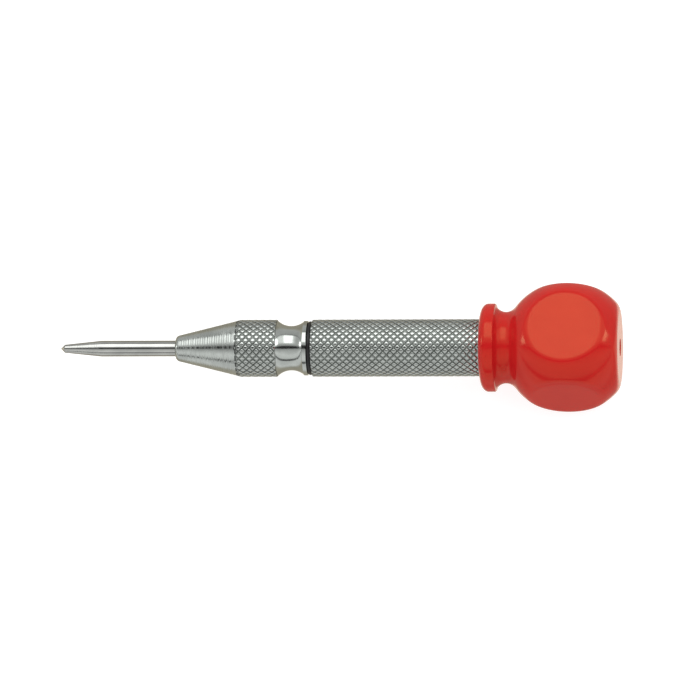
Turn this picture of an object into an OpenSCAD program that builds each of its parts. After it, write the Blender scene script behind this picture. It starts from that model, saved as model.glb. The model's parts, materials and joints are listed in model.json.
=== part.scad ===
// Automatic centre punch with a ball knob: spring, hammer and release pin in a turned barrel.
// The tool's axis is +X, the tip of the point is the origin, and one flat of the knob faces +Z.

/* [Point] */
// Diameter of the punch point's shank
point_d = 3.9; // [3.4:0.1:4.2]
// Diameter of the point where its taper meets the tip cone
tip_d = 2; // [1.4:0.1:2.6]
// Included angle of the tip cone
tip_angle = 90; // [60:5:120]
// Length of the tapered end, tip included
taper_l = 10; // [6:0.5:16]
// Length of point that stands out of the nose
reach = 28.5; // [24:0.1:32]

/* [Nose] */
// Diameter of the nose at its front face
nose_front_d = 6; // [5.4:0.1:7]
// Length of the nose's cone
cone_l = 16.2; // [13:0.1:18]
// Length of the knurled band behind the cone
band_l = 8.8; // [7:0.1:10]
// Smallest diameter of the finger groove
waist_d = 10.9; // [10.4:0.1:12]
// Radius of the finger groove's arc
waist_r = 4.8; // [4.2:0.05:5.2]

/* [Barrel] */
// Diameter of the barrel over its knurl
barrel_d = 14; // [13.8:0.1:15]
// Length of the knurled part of the barrel
grip_l = 41.2; // [40:0.1:42]
// Diameter of the barrel's bore
bore_d = 10; // [9.9:0.05:10.1]

/* [Knob] */
// Diameter of the ball
ball_d = 32.2; // [31:0.1:34]
// Distance across two opposite flats of the ball
across_flats = 26.7; // [25:0.1:27]
// Distance from the ball's centre to the flat at its end
end_flat = 12.8; // [12.4:0.1:13.2]
// Diameter of the knob's flange
flange_d = 21.6; // [20:0.1:23]
// Diameter of the knob's neck
neck_d = 17.5; // [17:0.1:18.5]
// Diameter of the hole in the knob's end
end_hole_d = 4.2; // [4.1:0.1:4.6]

/* [Mechanism] */
// Stroke of the point
stroke = 8; // [6:0.5:8]
// Lean of the release pin while the point is out
lean = 1.88; // [1.2:0.02:1.9]
// Diameter of the hammer
hammer_d = 9.8; // [9.6:0.05:9.82]
// Length of the hammer's body
hammer_l = 19; // [17:0.5:20]
// Wire diameter of the main spring
main_wire = 1.3; // [1:0.05:1.35]
// Turns of the main spring
main_turns = 9.5; // [7.5:0.5:9.5]
// Wire diameter of the return spring
return_wire = 0.5; // [0.35:0.05:0.5]
// Turns of the return spring
return_turns = 8; // [6:1:9]

/* [Hidden] */
$fn = 96;
eps = 0.01;
run_gap = 0.05; // radial clearance of a running fit
slide_gap = 0.1; // radial clearance of the hammer and of the skirt
edge = 0.25; // common edge chamfer

// Nose and point
chamber_r = 3.8;
chamber_x = 46; // front wall of the nose's chamber, where the point's head rests
head_l = 5;
head_r = chamber_r - 0.2;
socket_r = 1.55;
socket_l = 2.6;
cone_x = reach + cone_l;
band_x = cone_x + band_l;
waist_dx = sqrt(pow(waist_r, 2) - pow(waist_d / 2 + waist_r - barrel_d / 2, 2));
waist_x = band_x + waist_dx;
collar_r = barrel_d / 2 - 0.3; // the collar between the finger groove and the ring
collar_dx = sqrt(pow(waist_r, 2) - pow(waist_d / 2 + waist_r - collar_r, 2));
collar_x = waist_x + collar_dx;
collar_l = 0.95;
ring_x = collar_x + collar_l;
ring_wire_r = 0.52;
ring_land_r = 5.5;
nose_thread_r = 5.5; // M11 x 1, drawn as its outer envelope
nose_thread_l = 7;
nose_fillet = 0.9;

// Barrel
barrel_x = ring_x + 2 * ring_wire_r;
nose_end_x = barrel_x + nose_thread_l;
bush_flange_l = 1;
bore_x = nose_end_x + bush_flange_l;
grip_x = barrel_x + grip_l;
sleeve_r = barrel_d / 2 - 0.25; // plain part of the barrel that the knob's skirt slides on
sleeve_l = 9;
cap_thread_r = 6.5; // M13 x 1, drawn as its outer envelope
relief_l = 1;
cap_thread_x = grip_x + sleeve_l + relief_l;
cap_thread_l = 14.3;
barrel_end_x = cap_thread_x + cap_thread_l;

// Release pin, measured from the centre of its tail, which is where it leans
pivot_x = chamber_x + head_l - 1.1;
tail_r = 1.4;
tripper_r = 1.4; // the end that catches the hammer and then slips into its bore
tripper_end = pivot_x + 28.9;
cam_r = 2.45; // the cam collar that rides on the bush's cone
cam_l = 1.2;
cam_x = pivot_x + 20.1;
flange_x = pivot_x + 1.4;
flange_t = 1;
flange_r = 3.2;
shank_r = 1.9;

// Trip bush and hammer
bush_end_x = tripper_end + 0.2;
hammer_x = bush_end_x + 0.1;
hammer_bore_r = tripper_r + 0.15;
hammer_bore_l = 13;
spigot_r = 3;
spigot_l = 2.5;
hammer_end_x = hammer_x + hammer_l;

// Spring seat, thrust ball and set screw
seat_x = 119.5;
seat_t = 2.5;
seat_stem_r = 2.6;
thrust_r = 1.5;
thrust_x = seat_x + 6.7;
screw_r = 2; // M4, drawn as its outer envelope
screw_x = thrust_x + thrust_r;
screw_l = 8;

// Knob and its insert
skirt_x = grip_x + 0.1;
skirt_r = sleeve_r + slide_gap + run_gap;
ball_x = 124.9;
flat_r = across_flats / 2;
knob_end_x = ball_x + end_flat;
flange_round_x = 2; // axial length of the flange's rounded front edge
flange_round_r = 3; // radial depth of that edge
flange_back = 0.4;
neck_x = skirt_x + 6.25;
neck_arc_r = 2.7;
neck_leave = 45; // angle at which the neck's arc runs on into the ball
insert_x = cap_thread_x + 0.2;
insert_r = 8.6;
insert_cavity_end = barrel_end_x + 0.7;
insert_wall = 2;
boss_r = 4;
boss_end_x = 135.5;

// A solid of revolution from [r, x] points, radius first and station second.
module turned(points) rotate([0, 90, 0]) rotate_extrude() polygon(points);
module rod(x0, x1, r) translate([x0, 0, 0]) rotate([0, 90, 0]) cylinder(h = x1 - x0, r = r);
module cone(x0, x1, r0, r1) translate([x0, 0, 0]) rotate([0, 90, 0]) cylinder(h = x1 - x0, r1 = r0, r2 = r1);
module ball(x, r) translate([x, 0, 0]) rotate([0, 90, 0]) sphere(r = r);

// Points of an arc about [r, x], with radial and axial semi-axes, from one angle to another; 0 is +r, 90 is +x.
function arc(r, x, semi_r, semi_x, from, to, steps = 10) =
    [for (i = [0:steps]) let (a = from + (to - from) * i / steps) [r + semi_r * cos(a), x + semi_x * sin(a)]];

// Axial place along a spring that is close-wound for one turn at each end, at share s of its turns.
function spring_place(s, turns, length, wire) =
    let (t = s * turns, close = wire * 1.04, open = (length - wire - 2 * close) / (turns - 2))
    t < 1 ? t * close : t > turns - 1 ? length - wire - (turns - t) * close : close + (t - 1) * open;

// A coil spring from x0 to x1, wound right-handed, with mean radius r0 at its front end and r1 at its back end.
module spring(x0, x1, r0, r1, wire, turns, sides, steps) {
    count = turns * steps;
    points = [for (i = [0:count], k = [0:sides - 1])
        let (s = i / count, a = 360 * s * turns, b = 360 * k / sides,
            r = r0 + (r1 - r0) * s + wire / 2 * cos(b),
            x = x0 + wire / 2 + spring_place(s, turns, x1 - x0, wire) + wire / 2 * sin(b))
        [x, r * cos(a), r * sin(a)]];
    walls = [for (i = [0:count - 1], k = [0:sides - 1])
        let (n = (k + 1) % sides, a = i * sides + k, b = i * sides + n)
        each [[a, a + sides, b], [b, a + sides, b + sides]]];
    front = [[for (k = [0:sides - 1]) k]];
    back = [[for (k = [sides - 1:-1:0]) count * sides + k]];
    polyhedron(points, concat(walls, front, back));
}

// The hardened point: tip cone, taper, ground shank and a head with a socket for the release pin's tail.
module punch_point() {
    tip_l = tip_d / 2 / tan(tip_angle / 2);
    head_end = chamber_x + head_l;
    color("lightslategray") difference() {
        turned([[0, 0], [tip_d / 2, tip_l], [point_d / 2, taper_l], [point_d / 2, chamber_x],
            [head_r - edge, chamber_x], [head_r, chamber_x + edge], [head_r, head_end - edge],
            [head_r - edge, head_end], [0, head_end]]);
        rod(head_end - socket_l, head_end + 1, socket_r);
    }
}

// The release pin, drawn upright from its tail and then leant over about it.
module release_pin() {
    color("gainsboro") translate([pivot_x, 0, 0]) rotate([0, -lean, 0]) translate([-pivot_x, 0, 0]) {
        ball(pivot_x, tail_r);
        turned([[0, pivot_x], [tail_r, pivot_x], [tail_r, flange_x], [flange_r, flange_x],
            [flange_r, flange_x + flange_t], [shank_r, flange_x + flange_t], [shank_r, cam_x - cam_l / 2 - 0.5],
            [cam_r - edge, cam_x - cam_l / 2], [cam_r, cam_x - cam_l / 2 + edge], [cam_r, cam_x + cam_l / 2 - edge],
            [cam_r - edge, cam_x + cam_l / 2], [tripper_r, cam_x + cam_l / 2], [tripper_r, tripper_end],
            [0, tripper_end]]);
    }
}

// The light spring that pushes the point out and tips the release pin over.
module return_spring() {
    color("silver")
        spring(flange_x + flange_t + 0.15, nose_end_x - 0.02, 2.6, 3.5, return_wire, return_turns, 6, 20);
}

// The turned nose: cone, knurled band, finger groove, collar, land for the ring and threaded spigot.
module nose_sleeve() {
    slope = (barrel_d - nose_front_d) / 2 / cone_l;
    lay = atan(slope);
    round_x = nose_fillet * (1 - sin(lay));
    fillet_r = nose_front_d / 2 + slope * nose_fillet - nose_fillet / cos(lay);
    color("lightgray") difference() {
        turned(concat([[0, reach]], arc(fillet_r, reach + nose_fillet, nose_fillet, nose_fillet, -90, -lay, 6),
            [[barrel_d / 2, cone_x], [barrel_d / 2, band_x]],
            arc(waist_d / 2 + waist_r, waist_x, waist_r, waist_r,
                180 + asin(waist_dx / waist_r), 180 - asin(collar_dx / waist_r), 24),
            [[collar_r, ring_x - 0.1], [collar_r - 0.1, ring_x], [ring_land_r, ring_x], [ring_land_r, barrel_x],
                [nose_thread_r - run_gap, barrel_x], [nose_thread_r - run_gap, nose_end_x - 0.4],
                [nose_thread_r - 0.45, nose_end_x], [0, nose_end_x]]));
        rod(reach - 1, chamber_x + 1, point_d / 2 + run_gap);
        rod(chamber_x, nose_end_x + 1, chamber_r);
    }
}

// The rubber ring between the nose's collar and the barrel.
module nose_ring() {
    color("dimgray") translate([ring_x + ring_wire_r, 0, 0]) rotate([0, 90, 0])
        rotate_extrude() translate([ring_land_r + run_gap + ring_wire_r, 0]) circle(r = ring_wire_r, $fn = 32);
}

// The barrel: knurled grip, plain sleeve under the knob's skirt and a thread for the knob's insert.
module barrel() {
    grip_r = barrel_d / 2;
    color("silver") difference() {
        turned([[0, barrel_x], [grip_r - edge, barrel_x], [grip_r, barrel_x + edge], [grip_r, grip_x],
            [sleeve_r, grip_x], [sleeve_r, grip_x + sleeve_l - 0.3], [cap_thread_r - 0.55, grip_x + sleeve_l],
            [cap_thread_r - 0.55, cap_thread_x - 0.4], [cap_thread_r - run_gap, cap_thread_x],
            [cap_thread_r - run_gap, barrel_end_x - 0.6], [cap_thread_r - 0.65, barrel_end_x], [0, barrel_end_x]]);
        rod(barrel_x - 1, bore_x, nose_thread_r);
        rod(bore_x - 1, barrel_end_x + 1, bore_d / 2);
    }
}

// The hardened bush, clamped by the nose, whose long cone stands the release pin upright.
module trip_bush() {
    cone_end = bush_end_x - 0.7;
    guide_r = cam_r + run_gap;
    lean_room = (cam_x + cam_l / 2 - pivot_x) * sin(lean) + run_gap;
    rise = lean_room / stroke;
    color("darkgray") difference() {
        union() {
            rod(nose_end_x, bore_x, nose_thread_r - run_gap);
            rod(bore_x - eps, bush_end_x, bore_d / 2 - 0.03);
        }
        cone(nose_end_x - 1, cone_end, guide_r + rise * (cone_end - nose_end_x + 1), guide_r);
        rod(cone_end - eps, bush_end_x + 1, guide_r);
    }
}

// The hammer: a steel block with a blind bore for the release pin and a spigot for the main spring.
module hammer() {
    color("slategray") difference() {
        turned([[0, hammer_x], [hammer_d / 2 - 0.4, hammer_x], [hammer_d / 2, hammer_x + 0.4],
            [hammer_d / 2, hammer_end_x - 0.4], [hammer_d / 2 - 0.4, hammer_end_x], [spigot_r, hammer_end_x],
            [spigot_r, hammer_end_x + spigot_l - 0.5], [spigot_r - 0.5, hammer_end_x + spigot_l],
            [0, hammer_end_x + spigot_l]]);
        rod(hammer_x - 1, hammer_x + hammer_bore_l, hammer_bore_r);
        cone(hammer_x + hammer_bore_l - eps, hammer_x + hammer_bore_l + 0.9, hammer_bore_r, 0);
    }
}

// The strong spring between the hammer and the spring seat.
module main_spring() {
    color("silver") spring(hammer_end_x + 0.02, seat_x - 0.02, 4, 4, main_wire, main_turns, 8, 22);
}

// The spring's back seat: a spigot, a flange that slides in the bore and a stem with a cup for the ball.
module spring_seat() {
    stem_end = thrust_x - 0.3;
    color("gray") difference() {
        turned([[0, seat_x - spigot_l], [spigot_r - 0.5, seat_x - spigot_l], [spigot_r, seat_x - spigot_l + 0.5],
            [spigot_r, seat_x], [bore_d / 2 - slide_gap, seat_x], [bore_d / 2 - slide_gap, seat_x + seat_t],
            [seat_stem_r, seat_x + seat_t], [seat_stem_r, stem_end], [0, stem_end]]);
        ball(thrust_x, thrust_r + 0.02);
    }
}

// The steel ball that lets the knob turn without winding the main spring.
module thrust_ball() {
    color("lightsteelblue") ball(thrust_x, thrust_r);
}

// The slotted set screw in the insert's boss, reached through the knob's end hole.
module set_screw() {
    slot_w = 0.7;
    slot_t = 1.2;
    color("darkslategray") difference() {
        turned([[0, screw_x], [screw_r - 0.5, screw_x], [screw_r - run_gap, screw_x + 0.5],
            [screw_r - run_gap, screw_x + screw_l - 0.2], [screw_r - 0.25, screw_x + screw_l], [0, screw_x + screw_l]]);
        translate([screw_x + screw_l - slot_t, -slot_w / 2, -screw_r - 1]) cube([slot_t + 1, slot_w, 2 * screw_r + 2]);
    }
}

// Outside of the insert, with two grooves that key it into the knob. grow makes room for it in the knob.
module insert_form(grow) {
    body_end = insert_cavity_end + insert_wall;
    difference() {
        union() {
            rod(insert_x - grow, body_end + grow, insert_r + grow);
            rod(body_end - eps, boss_end_x + grow, boss_r + grow);
        }
        for (x = [insert_x + 3, insert_x + 9]) difference() {
            rod(x + grow, x + 1.6 - grow, insert_r + 1);
            rod(x, x + 1.6, insert_r - 0.6 + grow);
        }
    }
}

// The brass cup in the knob: it runs on the barrel's thread, and its end wall carries the set screw.
module knob_insert() {
    color("goldenrod") difference() {
        insert_form(0);
        rod(insert_x - 1, insert_cavity_end, cap_thread_r);
        rod(insert_cavity_end - 1, boss_end_x + 1, screw_r);
    }
}

// The knob: a ball with five flats, a concave neck and a flange, moulded in one piece.
module knob() {
    flange_r = flange_d / 2;
    flange_end = neck_x - neck_arc_r * sin(68);
    arc_centre = neck_d / 2 + neck_arc_r;
    leave = arc_centre - neck_arc_r * cos(neck_leave);
    leave_x = neck_x + neck_arc_r * sin(neck_leave);
    color("orangered") difference() {
        union() {
            intersection() {
                ball(ball_x, ball_d / 2);
                translate([ball_x - ball_d, -flat_r, -flat_r]) cube([ball_d + end_flat, 2 * flat_r, 2 * flat_r]);
            }
            turned(concat([[0, skirt_x]],
                arc(flange_r - flange_round_r, skirt_x + flange_round_x, flange_round_r, flange_round_x, -90, 0, 8),
                arc(flange_r - flange_back, flange_end - flange_back, flange_back, flange_back, 0, 60, 3),
                arc(arc_centre, neck_x, neck_arc_r, neck_arc_r, 180 + 68, 180 - neck_leave, 12),
                [[leave + 2, leave_x + 2], [0, leave_x + 2]]));
        }
        rod(skirt_x - 1, insert_x + eps, skirt_r);
        insert_form(0.02);
        rod(boss_end_x, knob_end_x + 1, end_hole_d / 2);
    }
}

punch_point();
release_pin();
return_spring();
nose_sleeve();
nose_ring();
barrel();
trip_bush();
hammer();
main_spring();
spring_seat();
thrust_ball();
knob_insert();
set_screw();
knob();
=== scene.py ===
import json
import math

import bpy
import numpy as np
from mathutils import Matrix, Vector


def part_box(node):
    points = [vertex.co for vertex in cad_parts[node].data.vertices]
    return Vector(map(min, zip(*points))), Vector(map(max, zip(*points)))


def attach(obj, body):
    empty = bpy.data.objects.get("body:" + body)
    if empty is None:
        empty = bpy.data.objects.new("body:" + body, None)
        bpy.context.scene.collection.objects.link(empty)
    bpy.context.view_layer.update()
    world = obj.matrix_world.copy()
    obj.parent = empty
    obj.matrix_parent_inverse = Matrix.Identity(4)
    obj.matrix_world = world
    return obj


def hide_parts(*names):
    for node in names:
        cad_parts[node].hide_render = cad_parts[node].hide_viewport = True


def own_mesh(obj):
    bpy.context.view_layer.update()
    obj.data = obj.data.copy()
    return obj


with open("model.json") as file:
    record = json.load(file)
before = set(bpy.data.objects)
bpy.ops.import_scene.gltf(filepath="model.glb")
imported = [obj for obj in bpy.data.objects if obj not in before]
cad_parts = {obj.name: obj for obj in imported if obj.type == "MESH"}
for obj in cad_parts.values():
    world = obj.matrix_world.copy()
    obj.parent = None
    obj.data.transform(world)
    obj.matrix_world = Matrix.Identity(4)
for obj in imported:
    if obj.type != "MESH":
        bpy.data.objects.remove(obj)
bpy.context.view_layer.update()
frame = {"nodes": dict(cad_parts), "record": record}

# The looks of an automatic centre punch. Shapes are worked out in millimetres as (x, r) outlines about the
# tool's X axis and turned into meshes in metres by lathe(). Materials and light work in metres.
MM = 0.001
TAU = 2 * math.pi

record = frame["record"]
mounts = {mount["name"]: mount for mount in record["mounts"]}


def span(node):
    """First and last station of a CAD node and its largest radius, in millimetres."""
    low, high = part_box(node)
    return low.x / MM, high.x / MM, high.z / MM


# ---- Sizes ---------------------------------------------------------------------------------------
tip_x, point_end_x, head_r = span("punch_point")
nose_x, nose_end_x, band_r = span("nose_sleeve")
ring_x, ring_end_x, ring_r = span("nose_ring")
barrel_x, barrel_end_x, grip_r = span("barrel")
insert_x, insert_end_x, insert_r = span("knob_insert")
knob_x, knob_end_x, flat_r = span("knob")
shank_r = mounts["point_shank"]["dims"]["r_mm"]
ball_x = mounts["rest_flat"]["pos_m"][0] / MM

tip_base_r = 1.0
taper_end_x = 10.0
head_x = 46.0
socket_r = 1.55
socket_depth = 2.6

cone_length = 16.2
band_length = 8.8
nose_front_r = 3.0
waist_r = 5.45
waist_arc = 4.8
collar_r = 6.7
ring_land_r = 5.5
nose_thread_r = 5.45
chamber_r = 3.8

grip_length = mounts["barrel_grip"]["dims"]["length_mm"] + 0.25  # with its front chamfer
sleeve_r = 6.75
sleeve_length = 9.0
relief_length = 1.0
cap_thread_r = 6.45
relief_r = cap_thread_r - 0.5
front_bore_r = 5.5
front_bore_length = 8.0
bore_r = 5.0

ball_r = 16.2  # 0.1 over the CAD's, because the rims of the flats are rounded here
end_rim_r = math.sqrt(ball_r ** 2 - (knob_end_x - ball_x) ** 2)
flange_r = 10.8
flange_round = (2.0, 3.0)
neck_x = knob_x + 6.25
neck_r = 8.75
neck_arc = 2.7
skirt_r = 6.9
end_hole_r = 2.1
play = 0.02  # between the insert and the plastic round it
boss_r = 4.0 + play
pocket_end_x = barrel_end_x + 2.72  # back wall of the room for the insert's body

knurls_around = 24
band_rows = 5  # diamonds along the nose's knurled band
cells = 8  # grid cells in one knurl
knurl_depth = 0.28
crown_height = 0.03
groove_cells = 1.4  # half width of a groove, in grid cells
thread_pitch = 1.0
cone_marks = 0.016  # mean depth of the turning marks on the nose's cone
groove_marks = 0.0022  # and in its finger groove


# ---- Outlines ------------------------------------------------------------------------------------
def line(start, end, step):
    """Points from start towards end, end left out, no further apart than step."""
    count = max(1, math.ceil(math.dist(start, end) / step - 1e-6))
    return [tuple(a + (b - a) * i / count for a, b in zip(start, end)) for i in range(count)]


def arc(x, r, radius_x, radius_r, start, end, steps):
    """Points of an arc about (x, r). Angles are in degrees: 0 points away from the axis and 90 along +X."""
    turns = [math.radians(start + (end - start) * i / steps) for i in range(steps + 1)]
    return [(x + radius_x * math.sin(a), r + radius_r * math.cos(a)) for a in turns]


def rounded(corners, steps=4):
    """Points of an open outline of (x, r, fillet) corners, each fillet a smooth curve."""
    points = []
    for i, (x, r, fillet) in enumerate(corners):
        if not fillet or i in (0, len(corners) - 1):
            points.append((x, r))
            continue
        here = Vector((x, r))
        before = Vector(corners[i - 1][:2]) - here
        after = Vector(corners[i + 1][:2]) - here
        start = here + before.normalized() * min(fillet, before.length * 0.48)
        end = here + after.normalized() * min(fillet, after.length * 0.48)
        for k in range(steps + 1):
            t = k / steps
            points.append(tuple(start * (1 - t) ** 2 + here * 2 * t * (1 - t) + end * t * t))
    return points


def ripple(x, period, seed):
    """Uneven turning marks along x, from -1 to 1: three waves that never line up."""
    phases = np.random.default_rng(seed).uniform(0, TAU, 3)
    waves = [(1.0, 0.5), (0.618, 0.3), (1.73, 0.2)]
    turn = TAU * x / period
    return sum(share * np.sin(turn * rate + phase) for (rate, share), phase in zip(waves, phases))


# ---- Meshes --------------------------------------------------------------------------------------
def lathe(name, outline, around, shape=None, diagonal=None, loop=False, sharp=30):
    """A closed surface of revolution about X through (x, r) points in mm.

    The outline starts and ends on the axis, or is a loop for a hollow piece. Its outer side runs along +X.
    shape(x, r, angle) may move points in or out, and diagonal(i, k) says how to split a cell in two."""
    points = np.array(outline, float)
    rings = points if loop else points[1:-1]
    angle = np.arange(around) * TAU / around
    x = np.repeat(rings[:, :1], around, axis=1)
    r = np.repeat(rings[:, 1:], around, axis=1)
    if shape:
        r = shape(x, r, angle[None, :])
    verts = np.stack([x, r * np.cos(angle), r * np.sin(angle)], axis=2).reshape(-1, 3)
    faces = []
    pairs = len(rings) if loop else len(rings) - 1
    for i in range(pairs):
        j = (i + 1) % len(rings)
        for k in range(around):
            n = (k + 1) % around
            a, b, c, d = i * around + k, i * around + n, j * around + n, j * around + k
            way = diagonal(i, k) if diagonal else 0
            if way == 1:
                faces += [(a, b, c), (a, c, d)]
            elif way == 2:
                faces += [(a, b, d), (b, c, d)]
            else:
                faces.append((a, b, c, d))
    if not loop:
        verts = np.vstack([verts, [points[0][0], 0, 0], [points[-1][0], 0, 0]])
        first, last = len(verts) - 2, len(verts) - 1
        top = (len(rings) - 1) * around
        for k in range(around):
            n = (k + 1) % around
            faces.append((first, n, k))
            faces.append((last, top + k, top + n))
    return mesh_piece(name, verts * MM, faces, sharp)


def mesh_piece(name, verts, faces, sharp):
    """A new object from points in metres, smooth but for edges sharper than an angle in degrees."""
    mesh = bpy.data.meshes.new(name)
    mesh.from_pydata([tuple(v) for v in verts], [], faces)
    mesh.validate()
    mesh.shade_smooth()
    mesh.set_sharp_from_angle(angle=math.radians(sharp))
    piece = bpy.data.objects.new(name, mesh)
    bpy.context.scene.collection.objects.link(piece)
    return piece


def dress(piece, node, material):
    """The piece stands for a CAD node: it takes the node's body and a Blender material, and the node is
    hidden.
    """
    piece.data.materials.append(material)
    body = next(name for name, members in record["behaviour"]["bodies"].items() if node in members)
    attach(piece, body)
    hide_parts(node)
    return piece


def knurl(first, pitch, crest):
    """A shape for a diamond knurl whose cells start at station first."""

    def shape(x, r, angle):
        along = (x - first) / pitch
        turn = angle * knurls_around / TAU
        rising = (along - turn) % 1
        falling = (along + turn) % 1
        nearest = np.minimum(np.minimum(rising, 1 - rising), np.minimum(falling, 1 - falling)) * cells
        groove = knurl_depth * np.clip(1 - nearest / groove_cells, 0, 1)
        dome = crown_height * np.sin(math.pi * rising) * np.sin(math.pi * falling)
        return np.minimum(r, crest - crown_height + dome - groove)

    return shape


def knurl_split(start, rings):
    """Which way to split each cell of a knurl, so that edges run along its grooves."""

    def diagonal(i, k):
        if not start <= i < start + rings:
            return 0
        i -= start
        rising = (i - k) % cells
        falling = (i + k + 1) % cells
        rising = min(rising, cells - rising)
        falling = min(falling, cells - falling)
        return 1 if rising <= falling else 2

    return diagonal


def threaded(first, last, pitch, depth):
    """A shape that cuts a right-hand V thread between two stations, fading out at both ends."""

    def shape(x, r, angle):
        share = (x / pitch - angle / TAU) % 1
        fade = np.clip((x - first) / (0.6 * pitch), 0, 1) * np.clip((last - x) / (0.6 * pitch), 0, 1)
        return r - depth * fade * np.abs(2 * share - 1)

    return shape


def coil(name, start, end, mean, wire, turns, around=40, sides=14):
    """A compression spring from station start to end in mm, one turn close-wound at each end."""
    count = int(turns * around)
    share = np.arange(count + 1) / count
    turn = share * turns
    close = wire * 1.04
    pitch = (end - start - wire - 2 * close) / (turns - 2)
    climb = np.clip(turn, 0, 1) * close + np.clip(turn - 1, 0, turns - 2) * pitch
    climb += np.clip(turn - turns + 1, 0, 1) * close
    side = np.arange(sides) * TAU / sides
    radius = (mean[0] + (mean[1] - mean[0]) * share)[:, None] + wire / 2 * np.cos(side)
    x = (start + wire / 2 + climb)[:, None] + wire / 2 * np.sin(side)
    angle = (turn * TAU)[:, None]
    verts = np.stack([x, radius * np.cos(angle), radius * np.sin(angle)], axis=2).reshape(-1, 3)
    faces = []
    for i in range(count):
        for k in range(sides):
            n = (k + 1) % sides
            faces.append((i * sides + k, (i + 1) * sides + k, (i + 1) * sides + n, i * sides + n))
    faces.append(tuple(range(sides)))
    faces.append(tuple(count * sides + k for k in reversed(range(sides))))
    return mesh_piece(name, verts * MM, faces, 60)


# ---- Materials -----------------------------------------------------------------------------------
class Shader:
    """A Principled material, with helpers that add the nodes of one pattern at a time."""

    def __init__(self, name, colour, roughness, metallic=0.0, **sockets):
        self.material = bpy.data.materials.new(name)
        self.material.use_nodes = True
        self.nodes = self.material.node_tree.nodes
        self.links = self.material.node_tree.links
        self.shader = self.nodes["Principled BSDF"]
        self.shader.inputs["Base Color"].default_value = (*colour, 1)
        self.shader.inputs["Roughness"].default_value = roughness
        self.shader.inputs["Metallic"].default_value = metallic
        for socket, value in sockets.items():
            self.shader.inputs[socket.replace("_", " ")].default_value = value
        self.place = self.node("ShaderNodeTexCoord").outputs["Object"]
        self.bump_end = None

    def node(self, kind, **values):
        """A new node. Values that the node has as properties are set, and the others are its sockets."""
        made = self.nodes.new(kind)
        for key, value in values.items():
            if hasattr(made, key):
                setattr(made, key, value)
            else:
                made.inputs[key.replace("_", " ")].default_value = value
        return made

    def noise(self, per_metre, detail=3.0, grain=0.5):
        """Noise with that many features a metre along x, y and z, from 0 to 1."""
        mapping = self.node("ShaderNodeMapping", Scale=per_metre)
        self.links.new(self.place, mapping.inputs["Vector"])
        noise = self.node("ShaderNodeTexNoise", Scale=1.0, Detail=detail, Roughness=grain)
        self.links.new(mapping.outputs["Vector"], noise.inputs["Vector"])
        return noise.outputs["Fac"]

    def radius(self):
        """Distance from the tool's axis, in metres."""
        flat = self.node("ShaderNodeVectorMath", operation="MULTIPLY")
        flat.inputs[1].default_value = (0, 1, 1)
        self.links.new(self.place, flat.inputs[0])
        length = self.node("ShaderNodeVectorMath", operation="LENGTH")
        self.links.new(flat.outputs["Vector"], length.inputs[0])
        return length.outputs["Value"]

    def station(self):
        """Place along the tool's axis, in metres."""
        split = self.node("ShaderNodeSeparateXYZ")
        self.links.new(self.place, split.inputs[0])
        return split.outputs["X"]

    def between(self, value, low, high, out_low=0.0, out_high=1.0):
        """The value, mapped from low..high to out_low..out_high and clamped."""
        ends = {"From_Min": low, "From_Max": high, "To_Min": out_low, "To_Max": out_high}
        mapped = self.node("ShaderNodeMapRange", **ends)
        self.links.new(value, mapped.inputs["Value"])
        return mapped.outputs["Result"]

    def math(self, operation, first, second):
        """One arithmetic step on two sockets or numbers."""
        made = self.node("ShaderNodeMath", operation=operation)
        for place, value in enumerate((first, second)):
            if isinstance(value, (int, float)):
                made.inputs[place].default_value = value
            else:
                self.links.new(value, made.inputs[place])
        return made.outputs["Value"]

    def tint(self, factor, low, high):
        """Base colour from low to high by a factor."""
        ramp = self.node("ShaderNodeValToRGB")
        ramp.color_ramp.elements[0].color = (*low, 1)
        ramp.color_ramp.elements[1].color = (*high, 1)
        self.links.new(factor, ramp.inputs["Fac"])
        return ramp.outputs["Color"]

    def blend(self, factor, first, second):
        """First where factor is 0 and second where it is 1; both are colour sockets."""
        mix = self.node("ShaderNodeMix", data_type="RGBA")
        self.links.new(factor, mix.inputs["Factor"])
        self.links.new(first, mix.inputs[6])
        self.links.new(second, mix.inputs[7])
        return mix.outputs[2]

    def colour(self, socket):
        self.links.new(socket, self.shader.inputs["Base Color"])

    def rough(self, socket):
        self.links.new(socket, self.shader.inputs["Roughness"])

    def bump(self, height, distance, strength=1.0):
        """Relief of that many metres, added to the relief so far."""
        bump = self.node("ShaderNodeBump", Strength=strength, Distance=distance)
        self.links.new(height, bump.inputs["Height"])
        if self.bump_end:
            self.links.new(self.bump_end, bump.inputs["Normal"])
        self.bump_end = bump.outputs["Normal"]
        self.links.new(self.bump_end, self.shader.inputs["Normal"])


def turned_metal(name, colour, roughness, marks=1.0, shade=0.82, fine=5000):
    """Turned or ground metal: marks that run round the axis, soft smudges and a little uneven polish."""
    made = Shader(name, colour, roughness, metallic=1.0)
    lay = made.noise((fine, 90, 90), detail=4.0, grain=0.65)
    smudge = made.noise((260, 420, 420), detail=3.0)
    dark = tuple(c * shade for c in colour)
    made.colour(made.tint(made.between(smudge, 0.35, 0.65), dark, colour))
    worn = made.between(smudge, 0.3, 0.7, 0.75, 1.2)
    grain = made.between(lay, 0.3, 0.7, -0.15, 0.2)
    polish = made.math("ADD", worn, grain)
    made.rough(made.math("MULTIPLY", polish, roughness))
    made.bump(lay, 0.000004 * marks)
    return made


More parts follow.
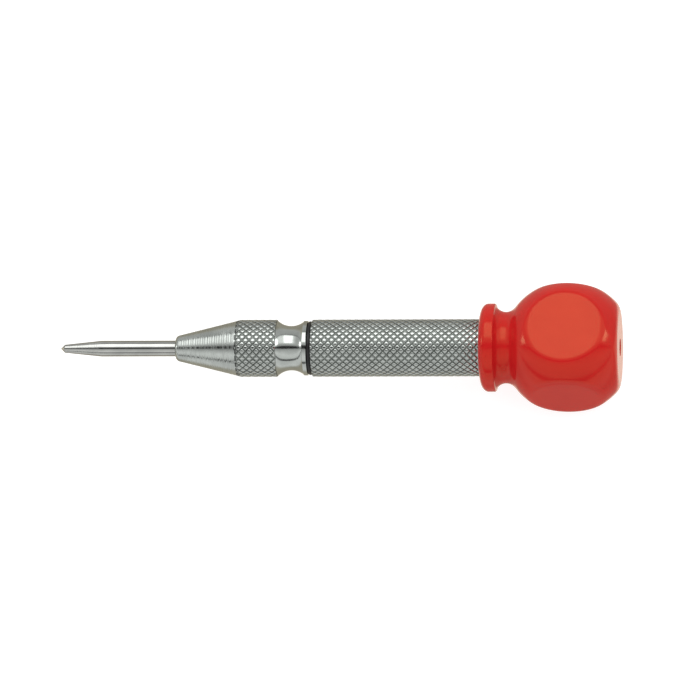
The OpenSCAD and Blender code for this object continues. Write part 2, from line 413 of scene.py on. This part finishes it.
def plated_knurl():
    """Bright plate over turning marks, with painted shade that darkens the grooves of the knurl."""
    made = turned_metal("bright_plate", (0.68, 0.72, 0.685), 0.13, marks=0.7)
    clean = made.shader.inputs["Base Color"].links[0].from_socket
    polish = made.shader.inputs["Roughness"].links[0].from_socket
    # Painted shade: the grooves of the knurl are darkened to near black in the base colour, patchy by
    # noise, where they fall in shade; the same mask also makes them rougher.
    shade_noise = made.noise((900, 900, 900), detail=2.0)
    edge_r = grip_r - crown_height
    groove = made.between(made.radius(), (edge_r - 0.17) * MM, (edge_r - 0.04) * MM, 1.0, 0.0)
    on_knurl = made.between(made.radius(), (sleeve_r - 0.02) * MM, (sleeve_r + 0.01) * MM)
    patchy = made.between(shade_noise, 0.2, 0.6, 0.6, 0.95)
    shade_amount = made.math("MULTIPLY", made.math("MULTIPLY", groove, on_knurl), patchy)
    painted_shade = made.tint(shade_noise, (0.012, 0.013, 0.012), (0.05, 0.053, 0.048))
    made.colour(made.blend(shade_amount, clean, painted_shade))
    rings = made.noise((1700, 6, 6), detail=1.0, grain=0.5)
    cone_end = (nose_x + cone_length) * MM
    on_cone = made.between(made.station(), cone_end - 0.0004, cone_end, 1.0, 0.0)
    turned = made.math("MULTIPLY", made.between(rings, 0.35, 0.65, 0.0, 0.2), on_cone)
    made.rough(made.math("ADD", made.math("ADD", polish, turned), made.math("MULTIPLY", shade_amount, 0.3)))
    return made.material


def point_steel():
    """Hardened steel: a polished shank, and a taper with coarser grinding marks towards the tip."""
    made = turned_metal("point_steel", (0.62, 0.63, 0.6), 0.09, marks=0.5)
    polish = made.shader.inputs["Roughness"].links[0].from_socket
    coarse = made.between(made.station(), (taper_end_x - 0.6) * MM, (taper_end_x + 0.2) * MM, 1.0, 0.0)
    made.rough(made.math("ADD", polish, made.math("MULTIPLY", coarse, 0.12)))
    grinding = made.math("MULTIPLY", made.noise((2600, 120, 120), detail=2.0), coarse)
    made.bump(grinding, 0.00003)
    return made.material


def knob_plastic():
    """Semi-gloss red moulded plastic: faint clouding, a fine orange-peel skin and handling marks."""
    made = Shader("knob_plastic", (0.52, 0.012, 0.014), 0.13, IOR=1.5, Specular_Tint=(1, 0.8, 0.35, 1))
    cloud = made.noise((90, 90, 90), detail=4.0, grain=0.6)
    made.colour(made.tint(made.between(cloud, 0.3, 0.7), (0.5, 0.009, 0.012), (0.54, 0.014, 0.014)))
    peel = made.noise((1500, 1500, 1500), detail=2.0)
    handling = made.noise((260, 700, 700), detail=5.0, grain=0.7)
    made.rough(made.between(handling, 0.35, 0.75, 0.12, 0.19))
    made.bump(peel, 0.000004)
    made.bump(cloud, 0.00003)
    return made.material


def ring_rubber():
    """Smooth black rubber with a slight bloom."""
    made = Shader("ring_rubber", (0.012, 0.012, 0.012), 0.34)
    bloom = made.noise((2200, 2200, 2200), detail=3.0)
    made.colour(made.tint(made.between(bloom, 0.3, 0.8), (0.005, 0.005, 0.006), (0.014, 0.014, 0.014)))
    made.rough(made.between(bloom, 0.3, 0.7, 0.28, 0.46))
    made.bump(bloom, 0.00001)
    return made.material


# ---- The pieces ----------------------------------------------------------------------------------
def make_point(steel):
    """Tip cone, taper, shank and the head with its socket."""
    floor_x = point_end_x - socket_depth
    outline = rounded([
        (tip_x, 0, 0), (tip_x + tip_base_r, tip_base_r, 0.12), (taper_end_x, shank_r, 0.5),
        (nose_x, shank_r, 0), (head_x, shank_r, 0), (head_x, head_r, 0.3), (point_end_x, head_r, 0.3),
        (point_end_x, socket_r, 0.15), (floor_x, socket_r, 0.1), (floor_x, 0, 0),
    ])
    taper = line(outline[5], outline[6], 0.08)
    outline = outline[:6] + taper[1:] + outline[6:]

    def ground(x, r, angle):
        on_taper = np.clip((taper_end_x - x) / 0.3, 0, 1) * np.clip((x - 1.3) / 0.3, 0, 1) * (r > 1.0)
        return r - 0.006 * on_taper * (1 + ripple(x, 0.42, 3))

    return dress(lathe("punch_point_ground", outline, 128, ground), "punch_point", steel)


def make_nose(plate):
    """Cone with turning marks, knurled band, polished finger groove, collar, ring land and thread."""
    cone_x = nose_x + cone_length
    band_x = cone_x + band_length
    pitch = band_length / band_rows
    cell = pitch / cells
    slope = (band_r - nose_front_r) / cone_length
    lead = [(cone_x - cell * k, band_r - slope * cell * k) for k in range(cells, 0, -1)]
    lay = math.degrees(math.atan(slope))
    fillet = 1.2
    face_r = nose_front_r + slope * fillet - fillet / math.cos(math.radians(lay))
    front = arc(nose_x + fillet, face_r, fillet, fillet, -90, -lay, 8)
    cone = line(front[-1], lead[0], 0.07)
    rise = waist_r + waist_arc
    waist_x = band_x + math.sqrt(waist_arc ** 2 - (rise - band_r) ** 2)
    depart = math.degrees(math.acos((rise - band_r) / waist_arc))
    arrive = math.degrees(math.acos((rise - collar_r) / waist_arc))
    groove = arc(waist_x, rise, waist_arc, waist_arc, 180 + depart, 180 - arrive, 64)
    collar_x = groove[-1][0]
    knurled = [(cone_x + cell * k, band_r) for k in range(band_rows * cells)]
    thread = line((barrel_x + 0.6, nose_thread_r), (nose_end_x - 0.4, nose_thread_r), thread_pitch / 8)
    outline = (
        [(nose_x, shank_r + 0.17), (nose_x, shank_r + 0.3)] + front[:-1] + cone + lead + knurled + groove
        + rounded([(collar_x + 0.01, collar_r, 0), (ring_x, collar_r, 0.14), (ring_x, ring_land_r, 0.1),
                   (barrel_x, ring_land_r, 0.05), (barrel_x, nose_thread_r, 0)])
        + thread
        + rounded([(nose_end_x - 0.4, nose_thread_r, 0), (nose_end_x, nose_thread_r - 0.4, 0.1),
                   (nose_end_x, chamber_r, 0.1), (head_x, chamber_r, 0.2), (head_x, shank_r + 0.05, 0.1),
                   (nose_x + 0.12, shank_r + 0.05, 0)])
    )
    start = 2 + len(front) - 1 + len(cone)
    band_shape = knurl(cone_x, pitch, band_r)
    thread_shape = threaded(barrel_x + 0.6, nose_end_x - 0.1, thread_pitch, 0.45)

    def shape(x, r, angle):
        outer = r > shank_r + 0.4
        on_cone = np.clip((x - nose_x - 0.8) / 0.6, 0, 1) * np.clip((cone_x - 0.9 - x) / 0.5, 0, 1) * outer
        on_groove = np.clip((x - band_x - 0.3) / 0.5, 0, 1) * np.clip((collar_x - x) / 0.4, 0, 1)
        on_groove = on_groove * (r > waist_r - 0.1)
        r = r - on_cone * cone_marks * (1 + ripple(x, 0.6, 11))
        r = r - on_groove * groove_marks * (1 + ripple(x, 0.5, 5))
        r = band_shape(x, r, angle)
        is_thread = (x > barrel_x + 0.5) & (r > chamber_r + 0.3)
        return np.where(is_thread, thread_shape(x, r, angle), r)

    piece = lathe("nose_sleeve_turned", outline, knurls_around * cells, shape,
                  knurl_split(start, (band_rows + 1) * cells), loop=True)
    return dress(piece, "nose_sleeve", plate)


def make_ring(rubber):
    """A round rubber ring, a little proud of its land."""
    wire = (ring_end_x - ring_x) / 2
    outline = arc(ring_x + wire, ring_r - wire, wire, wire, -90, 250, 17)
    return dress(lathe("nose_ring_moulded", outline, 160, loop=True), "nose_ring", rubber)


def make_barrel(plate):
    """Knurled grip, plain sleeve, relief, thread and bore."""
    repeats = round(grip_length / (band_length / band_rows))
    pitch = grip_length / repeats
    cell = pitch / cells
    grip_x = barrel_x + grip_length
    thread_x = grip_x + sleeve_length + relief_length
    knurled = [(barrel_x + cell * k, grip_r) for k in range(2, repeats * cells)]
    thread = line((thread_x, cap_thread_r), (barrel_end_x - 0.6, cap_thread_r), thread_pitch / 8)
    outline = (
        [(barrel_x, front_bore_r + 0.2), (barrel_x, grip_r - 0.26), (barrel_x + 0.02, grip_r - 0.16),
         (barrel_x + 0.1, grip_r - 0.06)]
        + knurled
        + rounded([(grip_x, grip_r, 0), (grip_x, sleeve_r, 0.03), (grip_x + sleeve_length, sleeve_r, 0.2),
                   (grip_x + sleeve_length, relief_r, 0.1), (thread_x - 0.4, relief_r, 0.1),
                   (thread_x, cap_thread_r, 0)])
        + thread[1:]
        + rounded([(barrel_end_x - 0.6, cap_thread_r, 0), (barrel_end_x, cap_thread_r - 0.6, 0.1),
                   (barrel_end_x, bore_r, 0.15), (barrel_x + front_bore_length, bore_r, 0.1),
                   (barrel_x + front_bore_length, front_bore_r, 0.1), (barrel_x + 0.2, front_bore_r, 0)])
    )
    grip_shape = knurl(barrel_x, pitch, grip_r)
    thread_shape = threaded(thread_x, barrel_end_x, thread_pitch, 0.5)

    def shape(x, r, angle):
        is_thread = (x >= thread_x) & (r > bore_r + 0.4)
        r = np.where(is_thread, thread_shape(x, r, angle), r)
        return np.where(x < grip_x - 0.01, grip_shape(x, r, angle), r)

    piece = lathe("barrel_knurled", outline, knurls_around * cells, shape,
                  barrel_split(4, repeats * cells - 2), loop=True)
    return dress(piece, "barrel", plate)


def barrel_split(start, rings):
    """The knurl's split, for a grid whose first ring is two cells from the knurl's start."""
    rule = knurl_split(0, rings + 2)
    return lambda i, k: rule(i - start + 2, k) if start <= i < start + rings else 0


def knob_outline():
    """Outside of the knob from its front face to the hole in its end, then back through its inside."""
    rise, fall = 62, 38  # degrees of the neck's arc towards the flange and towards the ball
    back = 0.45  # rounding of the flange's back edge
    bridge_r = 1.9  # the ball takes over this far outside the neck's arc
    rim_turn = 5.5  # degrees of the ball that the rim of the end flat takes up
    rim_width = 1.2  # and the width that it takes off the end flat
    countersink = 0.35
    flange_end = neck_x - neck_arc * math.sin(math.radians(rise))
    centre_r = neck_r + neck_arc
    front = arc(knob_x + flange_round[0], flange_r - flange_round[1], *flange_round, -90, 0, 20)
    crest = line(front[-1], (flange_end - back, flange_r), 0.3)[1:]
    corner = arc(flange_end - back, flange_r - back, back, back, 0, 60, 6)
    neck = arc(neck_x, centre_r, neck_arc, neck_arc, 180 + rise, 180 - fall, 34)
    ball_from = -math.degrees(math.acos((neck[-1][1] + bridge_r) / ball_r))
    ball_to = math.degrees(math.acos(end_rim_r / ball_r))
    disc_r = end_rim_r - rim_width
    ball = arc(ball_x, 0, ball_r, ball_r, ball_from, ball_to - rim_turn, 150)
    bridge = bezier(neck[-1], tangent(neck), ball[0], tangent(ball[1::-1]), 10)
    rim = bezier(ball[-1], tangent(ball), (knob_end_x, disc_r), (0, 1), 12)
    disc = line((knob_end_x, disc_r), (knob_end_x, end_hole_r + countersink), 0.5)
    inside = rounded([
        (knob_end_x, end_hole_r + countersink, 0), (knob_end_x, end_hole_r, 0.3),
        (insert_end_x + play, end_hole_r, 0.1), (insert_end_x + play, boss_r, 0.1),
        (pocket_end_x, boss_r, 0.1), (pocket_end_x, insert_r + play, 0.1),
        (insert_x - play, insert_r + play, 0.1), (insert_x - play, skirt_r, 0.1),
        (knob_x, skirt_r, 0.15), (knob_x, skirt_r + 0.3, 0),
    ])
    return front + crest + corner + neck + bridge + ball + rim + disc + inside


def tangent(points):
    """Unit direction of the last step of an outline."""
    step = Vector(points[-1]) - Vector(points[-2])
    return tuple(step.normalized())


def bezier(start, start_way, end, end_way, steps):
    """Points strictly between two outline points, leaving along start_way and arriving against end_way."""
    reach = math.dist(start, end) / 3
    first, last = Vector(start), Vector(end)
    near = first + Vector(start_way) * reach
    far = last + Vector(end_way) * reach
    shares = [k / steps for k in range(1, steps)]
    return [
        tuple(first * (1 - t) ** 3 + near * 3 * t * (1 - t) ** 2
              + far * 3 * t * t * (1 - t) + last * t ** 3)
        for t in shares
    ]


def make_knob(plastic):
    """Ball with four side flats and an end flat, soft rims, a concave neck and a flange."""
    soft = 0.8  # reach of the rounding at the rims of the side flats
    gate_r = 0.55  # ring-shaped gate mark on the neck
    gate_line = 0.13
    gate_depth = 0.09
    gate_angle = math.radians(148.5)

    def flats(x, r, angle):
        side = (angle + TAU / 8) % (TAU / 4) - TAU / 8
        flat = flat_r / np.cos(side)
        near = np.clip(soft - np.abs(r - flat), 0, None) / soft
        r = np.minimum(r, flat) - near * near * soft / 4
        aside = (angle - gate_angle + math.pi) % TAU - math.pi
        away = np.hypot(x - neck_x, aside * neck_r)
        mark = gate_depth * np.exp(-((away - gate_r) / gate_line) ** 2)
        return r - mark * (r > neck_r - 0.3) * (np.abs(x - neck_x) < neck_arc)

    return dress(lathe("knob_moulded", knob_outline(), 360, flats, loop=True, sharp=40), "knob", plastic)


def make_springs(steel):
    """The main spring flattens towards its seat, and the return spring towards the bush."""
    start, end, _ = span("main_spring")
    main = coil("main_spring_wire", start, end, (4.0, 4.0), 1.3, 9.5)
    dress(main, "main_spring", steel)
    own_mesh(main)
    start, end, _ = span("return_spring")
    light = coil("return_spring_wire", start, end, (2.6, 3.5), 0.5, 8, sides=10)
    dress(light, "return_spring", steel)
    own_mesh(light)


def paint_inner_nodes(finishes):
    """The pieces sealed inside keep their CAD shape and take a finish each."""
    for node, material in finishes.items():
        slots = frame["nodes"][node].data.materials
        slots.clear()
        slots.append(material)


# ---- Studio --------------------------------------------------------------------------------------
view_turn = math.radians(6.4)  # how far the camera stands round towards the knob
view_lean = math.radians(23.5)  # how far it leans from straight above towards -Y
view_roll = math.radians(0.146)  # how far it is turned about its own axis
view_distance = 2.0
view_width = 0.17123  # width of what the camera sees at the tool
view_centre = (0.07142, -0.00048)  # along the tool, and towards the picture's top
softbox_light = 3.4
floor_gap = 0.00002  # keeps the floor a hair under the knob's flat, so that the two don't coincide


def view_axes():
    """Unit vectors towards the camera, to the picture's right and to its top."""
    level = math.cos(view_turn)
    back = Vector((math.sin(view_turn), -level * math.sin(view_lean), level * math.cos(view_lean)))
    right = (Vector((1, 0, 0)) - back * back.x).normalized()
    return back, right, back.cross(right)


def make_camera():
    """A long lens, so that the tool is seen almost without perspective."""
    back, right, up = view_axes()
    data = bpy.data.cameras.new("camera")
    data.sensor_width = 36
    data.lens = data.sensor_width * view_distance / view_width
    data.clip_end = 20
    camera = bpy.data.objects.new("camera", data)
    target = Vector((view_centre[0], 0, 0)) + up * view_centre[1]
    level = Matrix((right, up, back)).transposed()
    turn = (level @ Matrix.Rotation(-view_roll, 3, "Z")).to_4x4()
    camera.matrix_world = Matrix.Translation(target + back * view_distance) @ turn
    bpy.context.scene.collection.objects.link(camera)
    bpy.context.scene.camera = camera


def make_floor():
    """A plain pale floor under the flat that the knob rests on."""
    size = 3.0
    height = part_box("knob")[0].z - floor_gap
    mesh = bpy.data.meshes.new("floor")
    corners = [(-size, -size, height), (size, -size, height), (size, size, height), (-size, size, height)]
    mesh.from_pydata(corners, [], [(0, 1, 2, 3)])
    floor = bpy.data.objects.new("floor", mesh)
    bpy.context.scene.collection.objects.link(floor)
    made = Shader("floor_paper", (0.35, 0.35, 0.35), 0.9, Specular_IOR_Level=0.0,
                  Emission_Color=(1, 1, 1, 1), Emission_Strength=0.85)
    fibre = made.noise((700, 700, 700), detail=3.0)
    made.colour(made.tint(fibre, (0.34, 0.34, 0.34), (0.38, 0.38, 0.38)))
    mesh.materials.append(made.material)
    floor.visible_glossy = False  # the metal mirrors the studio walls instead


def make_world():
    """The studio round the tool, by the angle about its axis: pale walls, one softbox and dark gaps."""
    world = bpy.data.worlds.new("studio")
    bpy.context.scene.world = world
    world.use_nodes = True
    nodes, links = world.node_tree.nodes, world.node_tree.links
    background = nodes["Background"]
    place = nodes.new("ShaderNodeTexCoord").outputs["Generated"]

    def along(direction):
        dot = nodes.new("ShaderNodeVectorMath")
        dot.operation = "DOT_PRODUCT"
        dot.inputs[1].default_value = direction
        links.new(place, dot.inputs[0])
        return dot.outputs["Value"]

    def step(operation, first, second):
        made = nodes.new("ShaderNodeMath")
        made.operation = operation
        for socket, value in zip(made.inputs, (first, second)):
            if isinstance(value, (int, float)):
                socket.default_value = value
            else:
                links.new(value, socket)
        return made.outputs["Value"]

    def ramp(factor, stops, low, high):
        """Light or colour by stops between low and high, for a factor that runs from 0 to 1 over them."""
        made = nodes.new("ShaderNodeValToRGB")
        elements = made.color_ramp.elements
        while len(elements) < len(stops):
            elements.new(0.5)
        for element, (place_at, light) in zip(elements, stops):
            element.position = (place_at - low) / (high - low)
            element.color = (*light, 1) if isinstance(light, tuple) else (light, light, light, 1)
        links.new(factor, made.inputs["Fac"])
        return made.outputs["Color"]

    toward_camera = along((0, -math.sin(view_lean), math.cos(view_lean)))
    toward_top = along((0, math.cos(view_lean), math.sin(view_lean)))
    turn = step("ARCTAN2", toward_top, toward_camera)
    share = step("ADD", step("DIVIDE", turn, TAU), 0.5)
    # Walls by the angle about the tool's axis, in degrees from the camera. The gaps near -65, 5 and 77 show
    # as the dark lines along the metal.
    bands = [
        (-180, 1.0), (-170, 1.0), (-162, 0.4), (-118, 0.42), (-105, 0.7), (-72, 0.7), (-68, 0.1),
        (-61, 0.1), (-57, 0.7), (-35, 0.8), (-12, 0.5), (-4, 0.4), (-2, 0.02), (11, 0.02), (14, 0.42),
        (24, 0.55), (30, 0.55), (70, 0.55), (75, 0.2), (79, 0.45), (108, 0.5), (122, 0.38), (162, 0.36),
        (170, 1.0),
    ]
    walls = ramp(share, bands, -180, 180)
    softbox = ramp(share, [(25, 0), (29, 1), (67, 1), (71, 0)], -180, 180)
    white = (1.0, 1.0, 1.0)
    warm = (1.0, 0.92, 0.76)  # behind the tool, seen in its shaded sides
    tint = ramp(share, [(-125, warm), (-105, white), (105, white), (125, warm)], -180, 180)
    # The softbox's strength by how far a direction points along the tool, from -1 to 1.
    reach = [
        (-0.99, 0), (-0.98, 1), (-0.955, 1), (-0.94, 0), (-0.75, 0), (-0.6, 0.06), (-0.48, 0.15),
        (-0.4, 0.4), (0.3, 0.4), (0.45, 0.12), (0.86, 0.12), (0.89, 1), (0.94, 1), (0.96, 0),
    ]
    sideways = step("ADD", step("MULTIPLY", along((1, 0, 0)), 0.5), 0.5)
    width = ramp(sideways, reach, -1, 1)
    lit = step("MULTIPLY", step("MULTIPLY", softbox, width), softbox_light)
    tinted = nodes.new("ShaderNodeVectorMath")
    tinted.operation = "MULTIPLY"
    links.new(step("ADD", walls, lit), tinted.inputs[0])
    links.new(tint, tinted.inputs[1])
    links.new(tinted.outputs["Vector"], background.inputs["Color"])


def make_light():
    """A broad soft light above, which brightens the floor and the knob but isn't mirrored in the metal."""
    data = bpy.data.lights.new("overhead", "AREA")
    data.shape = "SQUARE"
    data.size = 2.4
    data.energy = 14
    light = bpy.data.objects.new("overhead", data)
    light.location = (0.1, 0.15, 1.2)
    light.rotation_euler = (math.radians(-7), 0, 0)
    light.visible_glossy = False
    light.visible_camera = False
    bpy.context.scene.collection.objects.link(light)


plate = plated_knurl()
steel = point_steel()
inner_steel = turned_metal("turned_steel", (0.42, 0.42, 0.42), 0.28).material
wire_steel = turned_metal("spring_wire", (0.5, 0.5, 0.52), 0.24, fine=900).material
brass = turned_metal("turned_brass", (0.72, 0.5, 0.2), 0.22).material
oxide = turned_metal("black_oxide", (0.05, 0.05, 0.055), 0.4, shade=0.6).material

make_point(steel)
make_nose(plate)
make_ring(ring_rubber())
make_barrel(plate)
make_knob(knob_plastic())
make_springs(wire_steel)
paint_inner_nodes({
    "release_pin": inner_steel,
    "trip_bush": inner_steel,
    "hammer": inner_steel,
    "spring_seat": inner_steel,
    "thrust_ball": steel,
    "knob_insert": brass,
    "set_screw": oxide,
})

make_floor()
make_world()
make_light()
make_camera()
bpy.context.scene.view_settings.view_transform = "Standard"
